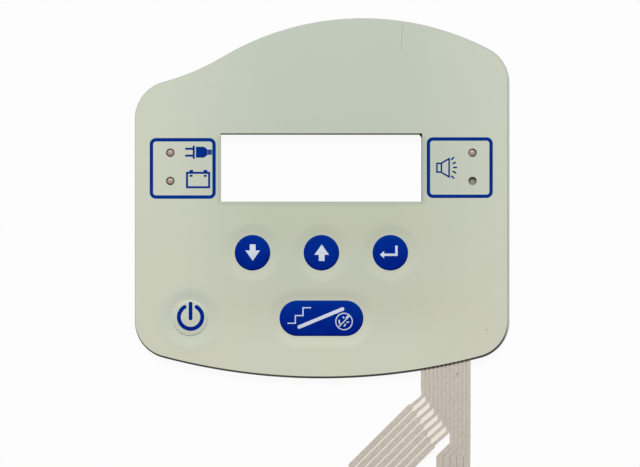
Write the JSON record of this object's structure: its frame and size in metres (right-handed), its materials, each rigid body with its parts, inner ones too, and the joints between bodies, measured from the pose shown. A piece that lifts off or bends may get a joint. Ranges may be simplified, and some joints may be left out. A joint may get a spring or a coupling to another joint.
{
  "type": "membrane keypad",
  "caption": "Membrane keypad with embossed keys, display window, indicator lights and forked tail on a backing plate",
  "frame": {"origin": "Middle of the display window, on the plane that the keypad lies on", "axes": "+X to the right as the user sees the keys, +Y from the tail towards the crown, +Z out of the face"},
  "size_m": [0.133, 0.1783, 0.0034],
  "materials": {
    "liner_paper": "smooth",
    "adhesive": "milky",
    "plate_metal": "cut edge",
    "clear_film": "clear, cream",
    "conductor_ink": "printed ink",
    "spring_steel": "bright",
    "lens_plastic": "moulded",
    "spacer_film": "plain",
    "overlay_film": "fine texture",
    "blue_ink": "screen print",
    "white_ink": "screen print"
  },
  "bodies": {
    "root": {"release_liner": "liner_paper", "rear_adhesive": "adhesive", "backing_plate": "plate_metal", "circuit_adhesive": "adhesive", "circuit_film": "clear_film", "key_conductors": "conductor_ink", "light_conductors": "conductor_ink", "power_dome": "spring_steel", "mode_dome": "spring_steel", "down_dome": "spring_steel", "up_dome": "spring_steel", "enter_dome": "spring_steel", "mains_light": "lens_plastic", "battery_light": "lens_plastic", "sound_light": "lens_plastic", "spacer_layer": "spacer_film", "overlay_adhesive": "adhesive", "graphic_overlay": "overlay_film"}
  },
  "joints": []
}
